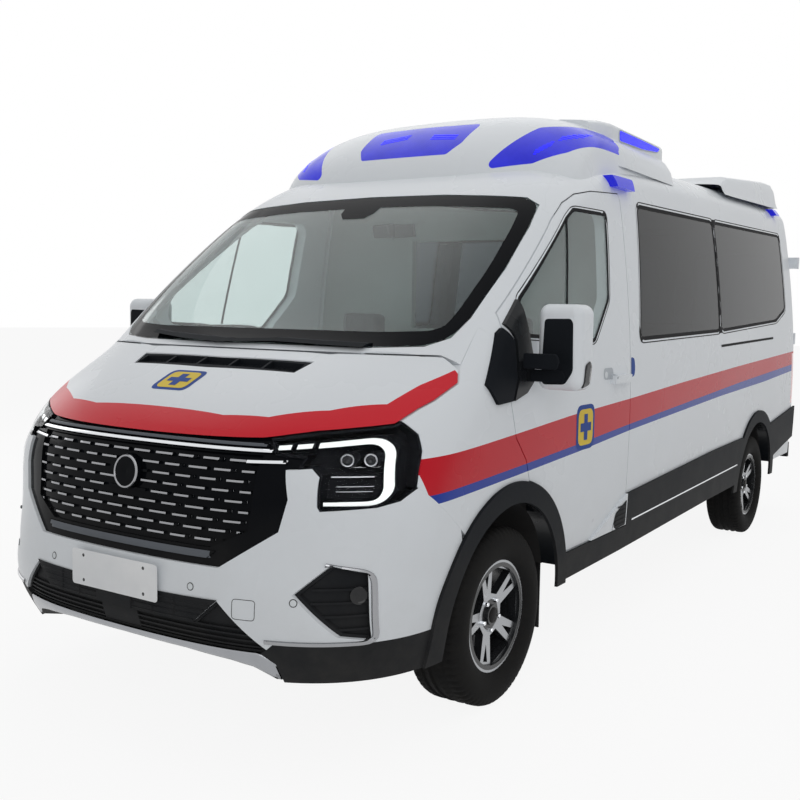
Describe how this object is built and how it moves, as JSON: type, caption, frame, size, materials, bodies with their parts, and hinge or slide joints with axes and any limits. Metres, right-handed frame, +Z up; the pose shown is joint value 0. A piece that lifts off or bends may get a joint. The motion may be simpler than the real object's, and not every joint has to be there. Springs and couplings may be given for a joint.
{
  "type": "van ambulance",
  "caption": "High-roof van ambulance with a lamp pod over the cab, striped sides, hinged cab doors, hood and rear doors, steered front wheels and a hollow cab and load space.",
  "frame": {"origin": "on the ground, at the bottom centre of the whole vehicle's box", "axes": "-Y towards the front, +X towards the vehicle's left side, +Z up"},
  "size_m": [2.506, 5.9797, 2.6098],
  "materials": {
    "body_white": "gloss",
    "trim_black": "matt",
    "grille_black": "gloss",
    "silver_trim": "satin",
    "lamp_lens": "gloss",
    "blue_lens": "gloss",
    "red_lens": "gloss",
    "window_glass": "clear",
    "dark_glass": "tinted",
    "tyre_rubber": "matt",
    "alloy": "machined",
    "chassis_steel": "matt",
    "cast_metal": "raw",
    "interior_grey": "matt",
    "seat_cloth": "woven"
  },
  "bodies": {
    "body": {"arch_trims": "trim_black", "bench_and_cabinet": "seat_cloth", "blue_lamps": "blue_lens", "body_side_left": "body_white", "body_side_right": "body_white", "bulkhead": "interior_grey", "cab_frame": "body_white", "cab_seats": "seat_cloth", "chassis_floor": "chassis_steel", "dashboard": "interior_grey", "engine_block": "cast_metal", "fender_sails": "trim_black", "fog_bezels": "grille_black", "front_apron": "trim_black", "front_bumper": "body_white", "front_fenders": "body_white", "front_lip": "silver_trim", "front_subframe": "chassis_steel", "grille": "grille_black", "headlamp_lenses": "window_glass", "headlamps": "lamp_lens", "lower_cladding": "trim_black", "lower_grille": "grille_black", "mud_flaps": "trim_black", "rear_axle": "chassis_steel", "rear_bumper": "trim_black", "rear_pod": "body_white", "roof_panel": "body_white", "roof_pod": "body_white", "side_glass": "dark_glass", "side_lamps": "blue_lens", "sliding_door": "body_white", "tail_lamps": "red_lens", "tank_and_exhaust": "chassis_steel", "wheelhouses": "chassis_steel", "windshield": "window_glass", "wipers": "trim_black"},
    "hood": {"hood": "body_white", "hood_vent": "trim_black"},
    "front_door_left": {"door_left": "body_white", "door_glass_left": "window_glass", "mirror_left": "body_white"},
    "front_door_right": {"door_right": "body_white", "door_glass_right": "window_glass", "mirror_right": "body_white"},
    "rear_door_left": {"rear_door_left": "body_white", "rear_glass_left": "dark_glass"},
    "rear_door_right": {"rear_door_right": "body_white", "rear_glass_right": "dark_glass"},
    "knuckle_left": {"knuckle_left": "cast_metal"},
    "knuckle_right": {"knuckle_right": "cast_metal"},
    "steering_wheel": {"steering_wheel": "trim_black"},
    "wheel_front_left": {"tyre_front_left": "tyre_rubber", "rim_front_left": "alloy"},
    "wheel_front_right": {"tyre_front_right": "tyre_rubber", "rim_front_right": "alloy"},
    "wheel_rear_left": {"tyre_rear_left": "tyre_rubber", "rim_rear_left": "alloy"},
    "wheel_rear_right": {"tyre_rear_right": "tyre_rubber", "rim_rear_right": "alloy"}
  },
  "joints": [
    {"name": "hood_lift", "type": "hinge", "parent": "body", "child": "hood", "pos_m": [0, -2.215, 1.405], "axis": [-1, 0, 0], "range_deg": [0, 50]},
    {"name": "front_door_left_swing", "type": "hinge", "parent": "body", "child": "front_door_left", "pos_m": [1.036, -2.015, 1], "axis": [0, 0, -1], "range_deg": [0, 70]},
    {"name": "front_door_right_swing", "type": "hinge", "parent": "body", "child": "front_door_right", "pos_m": [-1.036, -2.015, 1], "axis": [0, 0, 1], "range_deg": [0, 70]},
    {"name": "rear_door_left_swing", "type": "hinge", "parent": "body", "child": "rear_door_left", "pos_m": [0.985, 2.955, 1.3], "axis": [0, 0, -1], "range_deg": [0, 180]},
    {"name": "rear_door_right_swing", "type": "hinge", "parent": "body", "child": "rear_door_right", "pos_m": [-0.985, 2.955, 1.3], "axis": [0, 0, 1], "range_deg": [0, 180]},
    {"name": "steer_left", "type": "hinge", "parent": "body", "child": "knuckle_left", "pos_m": [0.765, -1.945, 0.353], "axis": [0, 0, 1], "range_deg": [-35, 35]},
    {"name": "steer_right", "type": "hinge", "parent": "body", "child": "knuckle_right", "pos_m": [-0.765, -1.945, 0.353], "axis": [0, 0, 1], "range_deg": [-35, 35]},
    {"name": "steering_wheel_turn", "type": "hinge", "parent": "body", "child": "steering_wheel", "pos_m": [0.45, -1.66, 1.27], "axis": [0, 0.8829, 0.4695], "range_deg": [-525, 525]},
    {"name": "wheel_front_left_spin", "type": "hinge", "parent": "knuckle_left", "child": "wheel_front_left", "pos_m": [0.87, -1.945, 0.353], "axis": [1, 0, 0], "continuous": true},
    {"name": "wheel_front_right_spin", "type": "hinge", "parent": "knuckle_right", "child": "wheel_front_right", "pos_m": [-0.87, -1.945, 0.353], "axis": [1, 0, 0], "continuous": true},
    {"name": "wheel_rear_left_spin", "type": "hinge", "parent": "body", "child": "wheel_rear_left", "pos_m": [0.87, 1.805, 0.353], "axis": [1, 0, 0], "continuous": true},
    {"name": "wheel_rear_right_spin", "type": "hinge", "parent": "body", "child": "wheel_rear_right", "pos_m": [-0.87, 1.805, 0.353], "axis": [1, 0, 0], "continuous": true}
  ],
  "couplings": [
    {"joint": "steer_right", "follows": "steer_left", "ratio": 1},
    {"joint": "steering_wheel_turn", "follows": "steer_left", "ratio": 15}
  ]
}
